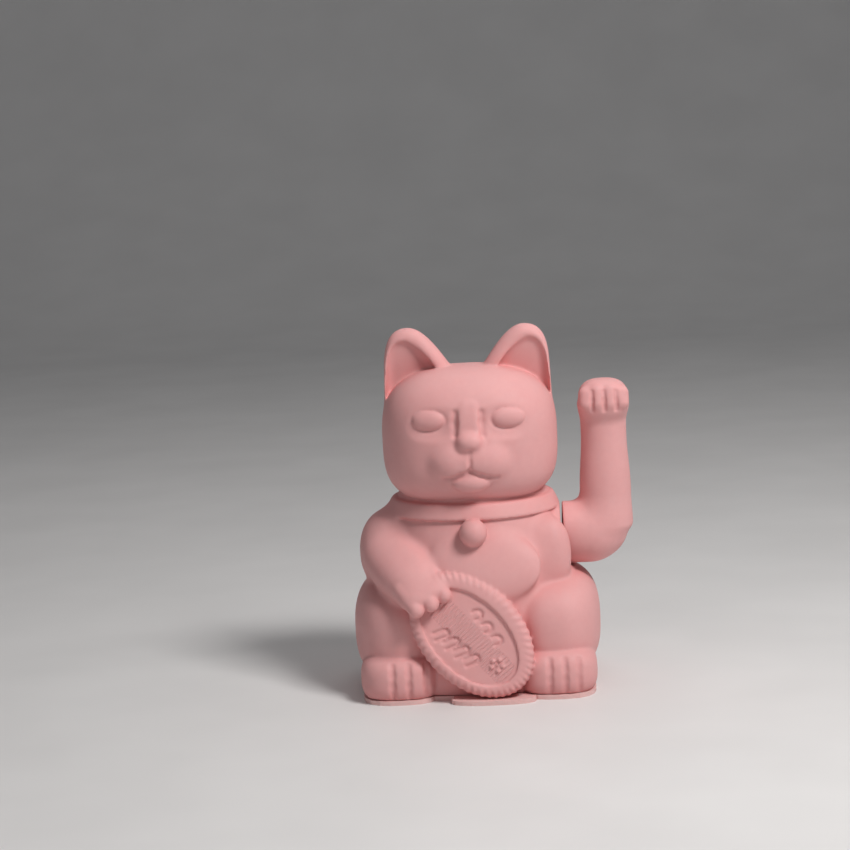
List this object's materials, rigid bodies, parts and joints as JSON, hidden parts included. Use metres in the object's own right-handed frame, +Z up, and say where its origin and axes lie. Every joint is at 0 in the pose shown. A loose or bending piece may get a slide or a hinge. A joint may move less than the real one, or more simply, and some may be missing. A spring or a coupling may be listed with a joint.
{
  "type": "beckoning cat figurine",
  "caption": "Seated hollow beckoning cat with an oval coin, whose raised arm rocks on a steel axle above a coil-driven pendulum; battery door in the base.",
  "frame": {"origin": "on the base plate's flat underside, under the parting plane of the two shells", "axes": "the cat faces -Y, its raised arm is on the +X side, and +Z is up"},
  "size_m": [0.118, 0.0909, 0.15],
  "materials": {
    "shell_pink": "matte",
    "inner_plastic": "satin",
    "steel": "satin",
    "magnet_iron": "satin",
    "weight_steel": "satin",
    "copper_wire": "satin",
    "board_green": "satin",
    "cell_jacket": "satin",
    "lead_red": "satin",
    "lead_black": "satin",
    "part_black": "satin",
    "part_tan": "satin"
  },
  "bodies": {
    "figurine": {"front_shell": "shell_pink", "rear_shell": "shell_pink", "base_plate": "shell_pink", "battery_cell": "cell_jacket", "contact_spring": "steel", "contact_plate_front": "steel", "contact_plate_rear": "steel", "lead_red": "lead_red", "lead_black": "lead_black", "circuit_board": "board_green", "coil_bobbin": "inner_plastic", "coil_winding": "copper_wire", "transistor": "part_black", "capacitor": "part_black", "resistor": "part_tan", "bearing_bracket": "inner_plastic", "base_screw_1": "steel", "base_screw_2": "steel", "base_screw_3": "steel", "base_screw_4": "steel", "board_screw_1": "steel", "bracket_screw_1": "steel", "board_screw_2": "steel", "bracket_screw_2": "steel"},
    "swinging_arm": {"pivot_axle": "steel", "axle_clip_inner": "steel", "axle_clip_outer": "steel", "pendulum_lever": "inner_plastic", "magnet": "magnet_iron", "counterweight": "weight_steel", "arm_hub": "inner_plastic", "arm_front": "shell_pink", "arm_rear": "shell_pink"},
    "door": {"battery_door": "shell_pink"}
  },
  "joints": [
    {"name": "arm_swing", "type": "hinge", "parent": "figurine", "child": "swinging_arm", "pos_m": [0, 0, 0.0615], "axis": [1, 0, 0], "range_deg": [-24, 24]},
    {"name": "door_tilt", "type": "hinge", "parent": "figurine", "child": "door", "pos_m": [-0.012, 0.02815, 0.00035], "axis": [1, 0, 0], "range_deg": [0, 75]}
  ]
}
